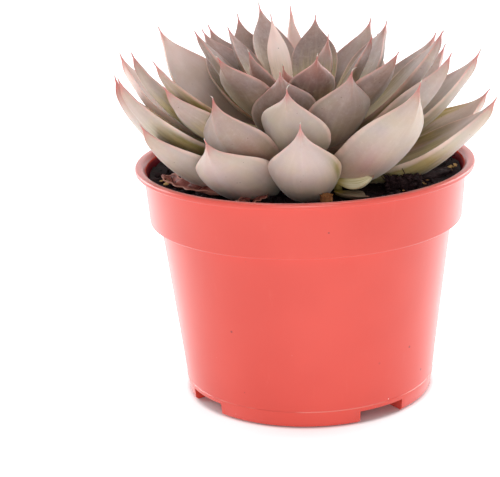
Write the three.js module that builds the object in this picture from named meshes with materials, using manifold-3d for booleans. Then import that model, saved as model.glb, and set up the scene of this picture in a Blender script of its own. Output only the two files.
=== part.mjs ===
// Potted rosette succulent in a moulded nursery pot. Millimetres, +Z up.
// The origin is the centre of the pot's base, on the ground. The front faces -Y.
// Azimuths are in degrees from the front, positive towards +X.

import * as THREE from 'three';
import { mergeVertices } from 'three/addons/utils/BufferGeometryUtils.js';
import Module from 'manifold-3d';

// ---- Driving dimensions: pot ----
const LIP_RADIUS = 60;
const POT_HEIGHT = 84;
const LIP_THICKNESS = 1.8;
const LIP_TOP_WIDTH = 2.5;
const LIP_EDGE = 0.5;
const COLLAR_TOP_RADIUS = 57;
const COLLAR_FOOT_RADIUS = 55.6;
const COLLAR_FOOT_HEIGHT = 64;
const COLLAR_EDGE = 0.6;
const BODY_TOP_RADIUS = 52;
const BASE_RADIUS = 44.2;
const BASE_EDGE = 1;
const FOOT_RIDGE_HEIGHT = 3.2;
const FOOT_RIDGE = 0.35;
const WALL = 1.3;
const POT_SEGMENTS = 48;
const SOIL_SEGMENTS = 40;
const STEM_SEGMENTS = 16;

// ---- Driving dimensions: drain channels in the base ----
const CHANNEL_AZIMUTHS = [-56, 34, 124, 214];
const CHANNEL_WIDTH = 18;
const CHANNEL_HEIGHT = 4.4;
const CHANNEL_DEPTH = 15;
const DRAIN_HOLE_RADIUS = 3;
const DRAIN_HOLE_SEGMENTS = 16;
const CUT_MARGIN = 1;

// ---- Driving dimensions: soil and stem ----
const GAP = 0.35;
const SOIL_HEIGHT = 78;
const STEM_FOOT_HEIGHT = 62;
const STEM_NECK_RADIUS = 5;
const STEM_CROWN_RADIUS = 7.2;
const STEM_CROWN_HEIGHT = 83;
const STEM_TOP_RADIUS = 2.2;
const STEM_TOP_HEIGHT = 101;
const STEM_SHOULDER = 3;

// ---- Driving dimensions: leaves ----
const BLADE_AROUND = 8;
const BLADE_ROWS = 11;
const WIDEST_AT = 0.6;
const BASE_WIDTH_SHARE = 0.2;
const ARC_HANDLE = 0.37;
const CUP = 0.26;
const TOP_BULGE = 0.7;
const BACK_BULGE = 1.3;
const THICKEST_SHARE_OF_WIDTH = 0.8;

const DEGREE = Math.PI / 180;

// The whorls from the lowest to the heart. A leaf grows from the stem at the azimuth `from`,
// `lift` above its whorl's height, and its point is at the azimuth `to`, `reach` from the axis
// and `rise` above the ground. It curls up along an arc that turns by twice its `bend`.
const WHORLS = [
  {
    height: 83.5, bend: 26, width: 24, thickness: 5.5,
    leaves: [
      { from: -68, to: -59, reach: 63, rise: 105, bend: 33.5, lift: -0.4, twist: -8, width: 25 },
      { from: -34, to: -32, reach: 60, rise: 104, bend: 39.5, lift: -0.2, twist: -18, width: 26 },
      { from: 5, to: -1, reach: 58, rise: 110, bend: 50, twist: 2 },
      { from: 29, to: 35, reach: 65, rise: 121, bend: 35, lift: 0.5, twist: 4, width: 26 },
      { from: 61, to: 74, reach: 68, rise: 108, bend: 31.5, twist: -10, width: 25 },
      { from: 98, to: 98, reach: 67, rise: 105, bend: 30.5, lift: -0.2, twist: -12 },
      { from: 130, to: 132, reach: 65, rise: 107, lift: -0.5, twist: -12 },
      { from: 164, to: 164, reach: 66, rise: 108, bend: 27 },
      { from: -164, to: -162, reach: 66, rise: 108, bend: 27.5, lift: -0.5, twist: 12 },
      { from: -129, to: -129, reach: 66, rise: 104, bend: 30.5, twist: 6 },
      { from: -97, to: -97, reach: 67, rise: 114, bend: 43, lift: -0.6, twist: -12 },
    ],
  },
  {
    height: 86.5, bend: 24, width: 24, thickness: 5.5,
    leaves: [
      { from: -4, to: -6, reach: 48, rise: 119, bend: 26.5, lift: 0.2, twist: 14 },
      { from: -35, to: -34, reach: 52, rise: 116, bend: 40.5, lift: -0.3, twist: -10 },
      { from: -79, to: -66, reach: 67, rise: 120, bend: 34, twist: -2 },
      { from: 51, to: 62, reach: 56, rise: 125, lift: 0.5 },
      { from: 82, to: 92, reach: 62, rise: 120, twist: -8 },
      { from: 119, to: 119, reach: 60, rise: 118, bend: 30, lift: -0.5, twist: -4 },
      { from: 150, to: 150, reach: 58, rise: 119, bend: 18, lift: 0.7 },
      { from: -179, to: -176, reach: 58, rise: 119, bend: 27, lift: 0.2, twist: -8 },
      { from: -144, to: -143, reach: 60, rise: 119, bend: 30, twist: -2 },
      { from: -110, to: -106, reach: 68, rise: 120, bend: 34, twist: -4 },
    ],
  },
  {
    height: 90, bend: 22, width: 22, thickness: 5.1,
    leaves: [
      { from: 26, to: 24, reach: 40, rise: 122, bend: 28, twist: 4 },
      { from: -16, to: -14, reach: 30, rise: 121, bend: 28, lift: -0.3, twist: -20 },
      { from: -58, to: -50, reach: 59, rise: 119, bend: 23, lift: -0.3, twist: -8, width: 20 },
      { from: 75, to: 83, reach: 49, rise: 129, bend: 19, twist: -8 },
      { from: 109, to: 112, reach: 52, rise: 124, lift: -0.5 },
      { from: 141, to: 145, reach: 45, rise: 127, bend: 19, lift: 0.5, twist: 4 },
      { from: 172, to: -176, reach: 55, rise: 130, twist: 60, width: 10 },
      { from: -158, to: -152, reach: 50, rise: 129, bend: 31, twist: 8 },
      { from: -118, to: -117, reach: 58, rise: 128, bend: 25, lift: -1.1, twist: 10, width: 24 },
      { from: -86, to: -88, reach: 59, rise: 124, bend: 32, lift: -0.4, twist: -12, width: 20 },
    ],
  },
  {
    height: 93.5, bend: 18, width: 19, thickness: 4.6,
    leaves: [
      { from: 6, to: 12, reach: 25, rise: 125, bend: 8, lift: 0.5, twist: -4, width: 17 },
      { from: 44, to: 45, reach: 45, rise: 127, bend: 12 },
      { from: 114, to: 119, reach: 35, rise: 129 },
      { from: 163, to: 172, reach: 40, rise: 128.5, bend: 12, lift: 0.5, twist: -4, width: 17 },
      { from: -165, to: -162, reach: 50, rise: 132, bend: 12.5, lift: 0.5, twist: -20 },
      { from: -137, to: -135, reach: 48, rise: 127, bend: 20, lift: -0.7, twist: 8 },
      { from: -105, to: -124, reach: 43, rise: 127, bend: 12, lift: -0.8, twist: 20 },
      { from: -91, to: -104, reach: 38.5, rise: 129, bend: 9, lift: 1, twist: -4, width: 13 },
      { from: -70, to: -57, reach: 58, rise: 126, bend: 24, twist: 4, width: 17 },
      { from: -50, to: -41, reach: 42, rise: 127, bend: 9, lift: 1.2, twist: -8 },
    ],
  },
  {
    height: 97, bend: 12, width: 12, thickness: 3.8,
    leaves: [
      { from: -50, to: -45, reach: 25, rise: 126 },
      { from: 75, to: 100, reach: 25, rise: 126 },
      { from: 140, to: 140, reach: 15, rise: 125.5, width: 8 },
      { from: -150, to: -159, reach: 30, rise: 131, width: 8.5 },
      { from: -118, to: -128, reach: 33, rise: 128, bend: 10.5, twist: -4 },
      { from: 10, to: -40, reach: 10, rise: 119, width: 7 },
    ],
  },
];

const OFFSET_LEAVES = [
  { foot: [10, -31.5, 84.4], point: [22.6, -39.8, 87.4], bend: 20, twist: -45, width: 6.4, thickness: 3 },
  { foot: [12, -26, 82.2], point: [21.5, -30.5, 84.4], bend: 14, width: 4.6, thickness: 1.6 },
  { foot: [9.5, -33, 81], point: [20.6, -43, 81.4], bend: 6, width: 6.6, thickness: 2.4 },
];

const DRIED_LEAVES = [
  {
    through: [[-50, -3, 80], [-46, -13, 80.2], [-38, -24, 80.2], [-28, -30, 79.8]],
    width: 7, thickness: 2.4,
  },
  {
    through: [[-13, -28, 79.5], [-17.5, -37, 79.4], [-21, -45, 80.2], [-23, -49.5, 82.2]],
    width: 7, thickness: 1.5,
  },
];

const BARK = [
  { through: [[27.5, -26, 79.8], [33, -24, 80.2], [39, -20.5, 79.8]], width: 8, thickness: 3.6 },
  { through: [[39, -19.5, 79.6], [45.5, -13, 80], [51.5, -7, 80.4]], width: 5, thickness: 2.6 },
];

const OFFSET_STEM = [
  [11.5, -26.5, 78.6],
  [11, -28.5, 81],
  [10.6, -29.6, 83.2],
];

const STALK_STUB = [
  [7, -44.6, 78.5],
  [7, -44.8, 80.8],
  [7, -45, 83],
];

const wasm = await Module();
wasm.setup();

// ---- Solids ----

function toSolid(geometry) {
  const bare = geometry.clone();
  bare.deleteAttribute('normal');
  bare.deleteAttribute('uv');
  const merged = mergeVertices(bare, 1e-4);
  const mesh = new wasm.Mesh({
    numProp: 3,
    vertProperties: new Float32Array(merged.attributes.position.array),
    triVerts: new Uint32Array(merged.index.array),
  });
  return new wasm.Manifold(mesh);
}

function toGeometry(solid) {
  const mesh = solid.getMesh();
  const geometry = new THREE.BufferGeometry();
  geometry.setAttribute('position', new THREE.BufferAttribute(mesh.vertProperties, 3));
  geometry.setIndex(new THREE.BufferAttribute(mesh.triVerts, 1));
  geometry.computeVertexNormals();
  return geometry;
}

// A turned solid from (radius, height) points that start and end on the axis.
function turned(points, segments = POT_SEGMENTS) {
  const profile = points.map(([radius, height]) => new THREE.Vector2(radius, height));
  const geometry = new THREE.LatheGeometry(profile, segments);
  return geometry.rotateX(Math.PI / 2);
}

function outward(azimuth) {
  return new THREE.Vector3(Math.sin(azimuth * DEGREE), -Math.cos(azimuth * DEGREE), 0);
}

// ---- Pot ----

function radialBox(azimuth, width, height, inner, outer, bottom) {
  const box = new THREE.BoxGeometry(width, outer - inner, height);
  box.translate(0, -(inner + outer) / 2, bottom + height / 2);
  return toSolid(box.rotateZ(azimuth * DEGREE));
}

function potGeometry() {
  const lipUnderside = POT_HEIGHT - LIP_THICKNESS;
  const lipInner = LIP_RADIUS - LIP_TOP_WIDTH;
  const shell = turned([
    [0, 0],
    [BASE_RADIUS - BASE_EDGE, 0],
    [BASE_RADIUS, BASE_EDGE],
    [BASE_RADIUS + FOOT_RIDGE, FOOT_RIDGE_HEIGHT],
    [BASE_RADIUS + FOOT_RIDGE / 2, FOOT_RIDGE_HEIGHT + FOOT_RIDGE],
    [BODY_TOP_RADIUS, COLLAR_FOOT_HEIGHT],
    [COLLAR_FOOT_RADIUS - COLLAR_EDGE, COLLAR_FOOT_HEIGHT],
    [COLLAR_FOOT_RADIUS, COLLAR_FOOT_HEIGHT + COLLAR_EDGE],
    [COLLAR_TOP_RADIUS, lipUnderside],
    [LIP_RADIUS - LIP_EDGE, lipUnderside],
    [LIP_RADIUS, lipUnderside + LIP_EDGE],
    [LIP_RADIUS, POT_HEIGHT - LIP_EDGE],
    [LIP_RADIUS - LIP_EDGE, POT_HEIGHT],
    [lipInner, POT_HEIGHT],
    [COLLAR_TOP_RADIUS - WALL, lipUnderside - LIP_EDGE],
    [COLLAR_FOOT_RADIUS - WALL, COLLAR_FOOT_HEIGHT + 2 * WALL],
    [BODY_TOP_RADIUS - WALL, COLLAR_FOOT_HEIGHT],
    [BASE_RADIUS - WALL, WALL],
    [0, WALL],
  ]);
  let pot = toSolid(shell);
  for (const azimuth of CHANNEL_AZIMUTHS) {
    pot = pot.add(channelRoof(azimuth, 0));
  }
  for (const azimuth of CHANNEL_AZIMUTHS) {
    pot = pot.subtract(drainChannel(azimuth));
    pot = pot.subtract(drainHole(azimuth));
  }
  return toGeometry(pot);
}

// The raised floor over a drain channel, kept inside the pot's tapered wall.
function channelRoof(azimuth, clearance) {
  const inner = BASE_RADIUS - CHANNEL_DEPTH - WALL - clearance;
  const outer = BASE_RADIUS + CUT_MARGIN;
  const width = CHANNEL_WIDTH + 2 * (WALL + clearance);
  const height = CHANNEL_HEIGHT + WALL + clearance;
  const roof = radialBox(azimuth, width, height - WALL / 2, inner, outer, WALL / 2);
  const inside = toSolid(turned([
    [0, 0],
    [BASE_RADIUS - WALL / 2 + clearance, 0],
    [BASE_RADIUS + clearance, height + CUT_MARGIN],
    [0, height + CUT_MARGIN],
  ]));
  return roof.intersect(inside);
}

function drainChannel(azimuth) {
  const inner = BASE_RADIUS - CHANNEL_DEPTH;
  const outer = BASE_RADIUS + CUT_MARGIN;
  return radialBox(azimuth, CHANNEL_WIDTH, CHANNEL_HEIGHT + CUT_MARGIN, inner, outer, -CUT_MARGIN);
}

function drainHole(azimuth) {
  const length = 2 * (WALL + CUT_MARGIN);
  const hole = new THREE.CylinderGeometry(DRAIN_HOLE_RADIUS, DRAIN_HOLE_RADIUS, length, DRAIN_HOLE_SEGMENTS);
  hole.rotateX(Math.PI / 2);
  const place = outward(azimuth).multiplyScalar(BASE_RADIUS - CHANNEL_DEPTH / 2);
  return toSolid(hole.translate(place.x, place.y, CHANNEL_HEIGHT));
}

// ---- Soil and stem ----

function soilGeometry() {
  const socket = STEM_NECK_RADIUS + GAP;
  const floor = WALL + GAP;
  const wallGap = WALL + GAP;
  const body = turned([
    [0, floor],
    [BASE_RADIUS - wallGap, floor],
    [BODY_TOP_RADIUS - wallGap, COLLAR_FOOT_HEIGHT],
    [COLLAR_FOOT_RADIUS - wallGap, COLLAR_FOOT_HEIGHT + 2 * WALL + GAP],
    [COLLAR_TOP_RADIUS - wallGap - GAP, SOIL_HEIGHT],
    [socket, SOIL_HEIGHT],
    [socket, STEM_FOOT_HEIGHT],
    [0, STEM_FOOT_HEIGHT],
  ], SOIL_SEGMENTS);
  let soil = toSolid(body);
  for (const azimuth of CHANNEL_AZIMUTHS) {
    soil = soil.subtract(channelRoof(azimuth, GAP));
  }
  return toGeometry(soil);
}

function stemRadiusAt(height) {
  const t = (height - STEM_CROWN_HEIGHT) / (STEM_TOP_HEIGHT - STEM_CROWN_HEIGHT);
  return THREE.MathUtils.lerp(STEM_CROWN_RADIUS, STEM_TOP_RADIUS, THREE.MathUtils.clamp(t, 0, 1));
}

function stemGeometry() {
  return turned([
    [0, STEM_FOOT_HEIGHT + GAP],
    [STEM_NECK_RADIUS, STEM_FOOT_HEIGHT + GAP],
    [STEM_NECK_RADIUS, STEM_CROWN_HEIGHT - STEM_SHOULDER],
    [STEM_CROWN_RADIUS, STEM_CROWN_HEIGHT],
    [STEM_TOP_RADIUS, STEM_TOP_HEIGHT - 1],
    [0, STEM_TOP_HEIGHT],
  ], STEM_SEGMENTS);
}

// ---- Blades: leaves, dry leaves and litter ----

// Half width as a share of the widest: a narrow base, a broad belly, an onion-dome point.
function leafWidthShare(along) {
  if (along < WIDEST_AT) {
    const rise = Math.sin((Math.PI / 2) * (along / WIDEST_AT)) ** 1.35;
    return BASE_WIDTH_SHARE + (1 - BASE_WIDTH_SHARE) * rise;
  }
  const fall = ((along - WIDEST_AT) / (1 - WIDEST_AT)) ** 1.2;
  return Math.cos((Math.PI / 2) * fall) ** 2;
}

function leafThicknessShare(along) {
  const swell = Math.min(1, 0.55 + 1.3 * along);
  return swell * (1 - along ** 4) ** 0.7;
}

// Litter keeps its width and is rounded off at both ends.
function litterShare(along) {
  return Math.sin(Math.PI * along) ** 0.35;
}

function leaning(horizontal, lean) {
  const direction = horizontal.clone().multiplyScalar(Math.sin(lean * DEGREE));
  return direction.setZ(Math.cos(lean * DEGREE));
}

// A curve that leaves `start` and curls up to `end`, along an arc that turns by twice the bend.
function arcLine(start, end, headingOut, headingIn, chordLean, bend) {
  const handle = ARC_HANDLE * start.distanceTo(end);
  const leaving = leaning(headingOut, chordLean + bend).multiplyScalar(handle);
  const arriving = leaning(headingIn, chordLean - bend).multiplyScalar(handle);
  return new THREE.CubicBezierCurve3(start, start.clone().add(leaving), end.clone().sub(arriving), end);
}

// A sphere drawn out along a line: its poles are the base and the point, its equator the two margins.
function blade(line, sideways, shape) {
  const geometry = new THREE.SphereGeometry(1, BLADE_AROUND, BLADE_ROWS);
  const position = geometry.attributes.position;
  const turn = (shape.twist ?? 0) * DEGREE;
  for (let i = 0; i < position.count; i++) {
    const polar = Math.acos(THREE.MathUtils.clamp(-position.getY(i), -1, 1));
    const along = polar / Math.PI;
    const ring = Math.sin(polar);
    const pole = ring < 1e-4;
    const across = pole ? 0 : position.getX(i) / ring;
    const face = pole ? 0 : position.getZ(i) / ring;
    const halfWidth = pole ? 0 : (shape.width / 2) * shape.widthShare(along);
    const fullThickness = (shape.thickness / 2) * shape.thicknessShare(along);
    const halfThickness = Math.min(fullThickness, halfWidth * THICKEST_SHARE_OF_WIDTH);
    const side = halfWidth * across;
    const bulge = face > 0 ? TOP_BULGE : BACK_BULGE;
    const up = halfThickness * bulge * face + shape.cup * halfWidth * across * across;
    const tangent = line.getTangentAt(along);
    const wide = sideways.clone().addScaledVector(tangent, -sideways.dot(tangent)).normalize();
    const upward = wide.clone().cross(tangent);
    const point = line.getPointAt(along);
    point.addScaledVector(wide, side * Math.cos(turn) - up * Math.sin(turn));
    point.addScaledVector(upward, side * Math.sin(turn) + up * Math.cos(turn));
    position.setXYZ(i, point.x, point.y, point.z);
  }
  return geometry;
}

function leafBlade(line, from, to, leaf) {
  const middle = outward((from + to) / 2);
  const sideways = new THREE.Vector3(middle.y, -middle.x, 0);
  return blade(line, sideways, {
    cup: CUP,
    widthShare: leafWidthShare,
    thicknessShare: leafThicknessShare,
    ...leaf,
  });
}

function rosetteLeaf(leaf) {
  const stemRadius = stemRadiusAt(leaf.height);
  const start = outward(leaf.from).multiplyScalar(stemRadius + GAP).setZ(leaf.height);
  const end = outward(leaf.to).multiplyScalar(leaf.reach).setZ(leaf.rise);
  const chordLean = Math.atan2(leaf.reach - stemRadius, leaf.rise - leaf.height) / DEGREE;
  const line = arcLine(start, end, outward(leaf.from), outward(leaf.to), chordLean, leaf.bend);
  return leafBlade(line, leaf.from, leaf.to, leaf);
}

// A small leaf between two places given as [x, y, z], heading along one azimuth.
function offsetLeaf(leaf) {
  const start = new THREE.Vector3(...leaf.foot);
  const end = new THREE.Vector3(...leaf.point);
  const span = end.clone().sub(start);
  const azimuth = Math.atan2(span.x, -span.y) / DEGREE;
  const chordLean = Math.atan2(Math.hypot(span.x, span.y), span.z) / DEGREE;
  const line = arcLine(start, end, outward(azimuth), outward(azimuth), chordLean, leaf.bend);
  return leafBlade(line, azimuth, azimuth, leaf);
}

// A dry leaf or a piece of bark laid along places given as [x, y, z].
function litter({ through, ...shape }) {
  const line = new THREE.CatmullRomCurve3(through.map((place) => new THREE.Vector3(...place)));
  const first = line.getPoint(0);
  const last = line.getPoint(1);
  const sideways = new THREE.Vector3(first.y - last.y, last.x - first.x, 0).normalize();
  return blade(line, sideways, { cup: 0, widthShare: litterShare, thicknessShare: litterShare, ...shape });
}

// ---- Assembly ----

const FINISHES = {
  pot: { color: 0xe4604f, roughness: 0.35 },
  soil: { color: 0x1f1513, roughness: 0.95 },
  stem: { color: 0x8c7f58, roughness: 0.8 },
  leaf: { color: 0xb9a098, roughness: 0.6 },
  offset: { color: 0xc9c878, roughness: 0.55 },
  dried: { color: 0xa45a4c, roughness: 0.85 },
  bark: { color: 0x3a2824, roughness: 0.95 },
  stub: { color: 0xb9703c, roughness: 0.85 },
};

const part = new THREE.Group();

function addPiece(name, geometry, finish) {
  const mesh = new THREE.Mesh(geometry, new THREE.MeshStandardMaterial(FINISHES[finish]));
  mesh.name = name;
  part.add(mesh);
}

addPiece('pot', potGeometry(), 'pot');
addPiece('soil', soilGeometry(), 'soil');
addPiece('stem', stemGeometry(), 'stem');

let leafNumber = 0;
for (const { leaves, height, ...whorl } of WHORLS) {
  for (const own of leaves) {
    leafNumber += 1;
    const leaf = { ...whorl, ...own, height: height + (own.lift ?? 0) };
    addPiece(`leaf_${String(leafNumber).padStart(2, '0')}`, rosetteLeaf(leaf), 'leaf');
  }
}
OFFSET_LEAVES.forEach((leaf, i) => addPiece(`offset_leaf_${i + 1}`, offsetLeaf(leaf), 'offset'));
DRIED_LEAVES.forEach((leaf, i) => addPiece(`dried_leaf_${i + 1}`, litter(leaf), 'dried'));
BARK.forEach((piece, i) => addPiece(`bark_${i + 1}`, litter(piece), 'bark'));
addPiece('offset_stem', litter({ through: OFFSET_STEM, width: 3, thickness: 3 }), 'offset');
addPiece('stalk_stub', litter({ through: STALK_STUB, width: 4, thickness: 4 }), 'stub');

export default part;
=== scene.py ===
"""Potted rosette succulent: the fine shapes, finishes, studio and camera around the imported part.

Metres, +Z up. The origin is the centre of the pot's base, and the front faces -Y.
"""

import math
import random

import bmesh
import bpy
from mathutils import Matrix, Vector, noise


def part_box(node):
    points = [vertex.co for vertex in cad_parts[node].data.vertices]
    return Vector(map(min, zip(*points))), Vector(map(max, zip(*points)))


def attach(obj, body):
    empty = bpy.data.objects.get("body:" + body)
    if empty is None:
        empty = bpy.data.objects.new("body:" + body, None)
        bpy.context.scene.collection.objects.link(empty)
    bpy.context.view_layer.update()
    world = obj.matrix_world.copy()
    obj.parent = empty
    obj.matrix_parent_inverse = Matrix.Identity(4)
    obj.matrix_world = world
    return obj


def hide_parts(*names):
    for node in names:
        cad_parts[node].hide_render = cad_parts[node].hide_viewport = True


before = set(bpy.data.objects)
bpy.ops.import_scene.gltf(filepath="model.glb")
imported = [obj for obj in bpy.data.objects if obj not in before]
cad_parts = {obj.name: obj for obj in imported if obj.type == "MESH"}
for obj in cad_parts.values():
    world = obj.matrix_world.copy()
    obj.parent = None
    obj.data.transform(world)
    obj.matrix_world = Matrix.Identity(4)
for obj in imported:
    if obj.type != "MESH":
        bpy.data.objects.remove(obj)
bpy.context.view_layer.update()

MM = 0.001
UP = Vector((0, 0, 1))


def placed(name, data):
    """A new object of the scene that holds this mesh, light or camera."""
    thing = bpy.data.objects.new(name, data)
    bpy.context.scene.collection.objects.link(thing)
    return thing


def mesh_from(bm, name):
    mesh = bpy.data.meshes.new(name)
    bm.to_mesh(mesh)
    bm.free()
    return mesh


# ---------------------------------------------------------------- camera

CAMERA_TARGET = Vector((0, 0, 45 * MM))
CAMERA_DISTANCE = 571 * MM
CAMERA_ELEVATION = math.radians(17.96)
CAMERA_ROLL = math.radians(1.5)
CAMERA_LENS = 113.5
AIM_LEFT = 0.0361
AIM_ABOVE = 0.0157


def studio_camera():
    data = bpy.data.cameras.new("studio_camera")
    data.lens = CAMERA_LENS
    data.sensor_width = 36
    data.clip_start = 0.01
    camera = placed("studio_camera", data)
    back = Vector((0, -math.cos(CAMERA_ELEVATION), math.sin(CAMERA_ELEVATION)))
    level_up = Vector((0, math.sin(CAMERA_ELEVATION), math.cos(CAMERA_ELEVATION)))
    level_right = Vector((1, 0, 0))
    right = level_right * math.cos(CAMERA_ROLL) - level_up * math.sin(CAMERA_ROLL)
    up = level_right * math.sin(CAMERA_ROLL) + level_up * math.cos(CAMERA_ROLL)
    forward = (up * AIM_ABOVE - right * AIM_LEFT - back).normalized()
    right = (right - forward * right.dot(forward)).normalized()
    up = right.cross(forward)
    turn = Matrix((right, up, -forward)).transposed().to_4x4()
    camera.matrix_world = Matrix.Translation(CAMERA_TARGET + back * CAMERA_DISTANCE) @ turn
    bpy.context.scene.camera = camera


studio_camera()


# ---------------------------------------------------------------- measures of the pot

pot_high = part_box("pot")[1]
LIP_RADIUS = pot_high.x
POT_HEIGHT = pot_high.z
LIP_THICKNESS = 1.8 * MM
LIP_TOP_WIDTH = 2.5 * MM
LIP_UNDERSIDE = POT_HEIGHT - LIP_THICKNESS
COLLAR_TOP_RADIUS = 57 * MM
COLLAR_FOOT_RADIUS = 55.6 * MM
COLLAR_FOOT_HEIGHT = 64 * MM
BODY_TOP_RADIUS = 52 * MM
BASE_RADIUS = 44.2 * MM
FOOT_BAND_HEIGHT = 5.8 * MM
FOOT_BAND = 0.18 * MM
LEDGE_HEIGHT = 0.3 * MM
WALL = 1.3 * MM
CHANNELS = [-56, 34, 124, 214]
CHANNEL_WIDTH = 18 * MM
CHANNEL_HEIGHT = 4.4 * MM
CHANNEL_DEPTH = 15 * MM
DRAIN_HOLE_RADIUS = 3 * MM
POT_STEPS = 160
POT_CREASE = math.radians(32)


# ---------------------------------------------------------------- finishes

def finish_called(name, **shader_values):
    """A new material, its node tree and its shader, with the shader's own numbers set."""
    material = bpy.data.materials.new(name)
    material.use_nodes = True
    tree = material.node_tree
    shader = tree.nodes["Principled BSDF"]
    for key, value in shader_values.items():
        shader.inputs[key.replace("_", " ")].default_value = value
    return material, tree, shader


def add(tree, kind, inputs=None, **settings):
    node = tree.nodes.new(kind)
    for key, value in settings.items():
        setattr(node, key, value)
    for key, value in (inputs or {}).items():
        if isinstance(value, bpy.types.NodeSocket):
            tree.links.new(value, node.inputs[key])
        else:
            node.inputs[key].default_value = value
    return node


def compute(tree, operation, first, second=0.0, third=0.0):
    """One sum of the Math node."""
    inputs = {0: first, 1: second, 2: third}
    return add(tree, "ShaderNodeMath", inputs, operation=operation).outputs[0]


def times(tree, first, second):
    return compute(tree, "MULTIPLY", first, second)


def rise(tree, value, low, high):
    """0 below low, 1 above high, smooth between."""
    inputs = {"Value": value, "From Min": low, "From Max": high}
    return add(tree, "ShaderNodeMapRange", inputs, interpolation_type="SMOOTHSTEP").outputs["Result"]


def fall(tree, value, low, high):
    """1 below low, 0 above high, smooth between."""
    inputs = {"Value": value, "From Min": low, "From Max": high, "To Min": 1.0, "To Max": 0.0}
    return add(tree, "ShaderNodeMapRange", inputs, interpolation_type="SMOOTHSTEP").outputs["Result"]


def tint(tree, share, base, other):
    """base where share is 0 and other where it is 1. A colour is (r, g, b) or a socket."""
    node = tree.nodes.new("ShaderNodeMix")
    node.data_type = "RGBA"
    for index, value in ((0, share), (6, base), (7, other)):
        if isinstance(value, bpy.types.NodeSocket):
            tree.links.new(value, node.inputs[index])
        elif isinstance(value, tuple):
            node.inputs[index].default_value = (*value, 1)
        else:
            node.inputs[index].default_value = value
    return node.outputs[2]


def wash(tree, colour, share, amount, other):
    """The colour with another laid over it, as strong as amount where share is 1."""
    return tint(tree, times(tree, share, amount), colour, other)


def own_place(tree):
    """A place on the piece, in its own coordinates."""
    return add(tree, "ShaderNodeTexCoord").outputs["Object"]


def mottle(tree, place, scale, detail=3.0, roughness=0.5):
    inputs = {"Vector": place, "Scale": scale, "Detail": detail, "Roughness": roughness}
    return add(tree, "ShaderNodeTexNoise", inputs).outputs["Fac"]


def specks(tree, place, scale, size):
    """1 in small round specks scattered at random, 0 elsewhere."""
    cells = add(tree, "ShaderNodeTexVoronoi", {"Vector": place, "Scale": scale})
    chosen = rise(tree, cells.outputs["Color"], 0.62, 0.66)
    near = fall(tree, cells.outputs["Distance"], size * 0.6, size)
    return times(tree, near, chosen)


def height_of(tree, place):
    return add(tree, "ShaderNodeSeparateXYZ", {0: place}).outputs["Z"]


def skin_grid(tree, across, along, seed):
    """A place on a leaf's own skin, different for each leaf."""
    return add(tree, "ShaderNodeCombineXYZ", {"X": across, "Y": along, "Z": seed}).outputs[0]


def stretched(tree, place, x, y, z):
    return add(tree, "ShaderNodeMapping", {"Vector": place, "Scale": (x, y, z)}).outputs["Vector"]


def bump(tree, shader, height, distance, strength):
    inputs = {"Height": height, "Distance": distance, "Strength": strength}
    tree.links.new(add(tree, "ShaderNodeBump", inputs).outputs["Normal"], shader.inputs["Normal"])


def dress(tree, shader, colour, roughness):
    """Give the shader its colour and its roughness."""
    tree.links.new(colour, shader.inputs["Base Color"])
    tree.links.new(roughness, shader.inputs["Roughness"])


def carried(tree, name):
    """A value that the mesh carries at each vertex."""
    return add(tree, "ShaderNodeAttribute", attribute_name=name).outputs["Fac"]


def pot_plastic():
    """Glossy red plastic, faintly scuffed, with a few dark specks and pale ones near the foot, and a
    painted highlight along the ledge over the foot band.
    """
    material, tree, shader = finish_called(
        "pot_plastic", IOR=1.56, Sheen_Weight=0.35, Sheen_Roughness=0.35,
    )
    place = own_place(tree)
    broad = rise(tree, mottle(tree, place, 22, 2.0), 0.35, 0.65)
    scuffed = mottle(tree, stretched(tree, place, 1, 1, 0.35), 260, 4.0, 0.65)
    height = height_of(tree, place)
    colour = tint(tree, broad, (0.615, 0.050, 0.030), (0.655, 0.060, 0.038))
    colour = wash(tree, colour, rise(tree, scuffed, 0.58, 0.78), 0.05, (0.78, 0.17, 0.13))
    colour = wash(tree, colour, specks(tree, place, 130, 0.07), 0.8, (0.20, 0.02, 0.02))
    near_foot = fall(tree, height, 12 * MM, 30 * MM)
    colour = wash(tree, colour, specks(tree, place, 175, 0.05), near_foot, (0.95, 0.72, 0.66))
    # a pale line is painted here and there along the little ledge over the foot band: a painted
    # highlight
    ledge = times(
        tree,
        rise(tree, height, FOOT_BAND_HEIGHT - 0.1 * MM, FOOT_BAND_HEIGHT + 0.1 * MM),
        fall(tree, height, FOOT_BAND_HEIGHT + 0.2 * MM, FOOT_BAND_HEIGHT + 0.4 * MM),
    )
    painted_ledge_highlight = times(tree, ledge, rise(tree, mottle(tree, place, 55, 2.0), 0.40, 0.62))
    colour = wash(tree, colour, painted_ledge_highlight, 0.38, (0.95, 0.42, 0.35))
    gloss = compute(tree, "MULTIPLY_ADD", mottle(tree, place, 40, 2.0), 0.08, 0.20)
    dress(tree, shader, colour, gloss)
    bump(tree, shader, scuffed, 0.02 * MM, 0.35)
    return material


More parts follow.
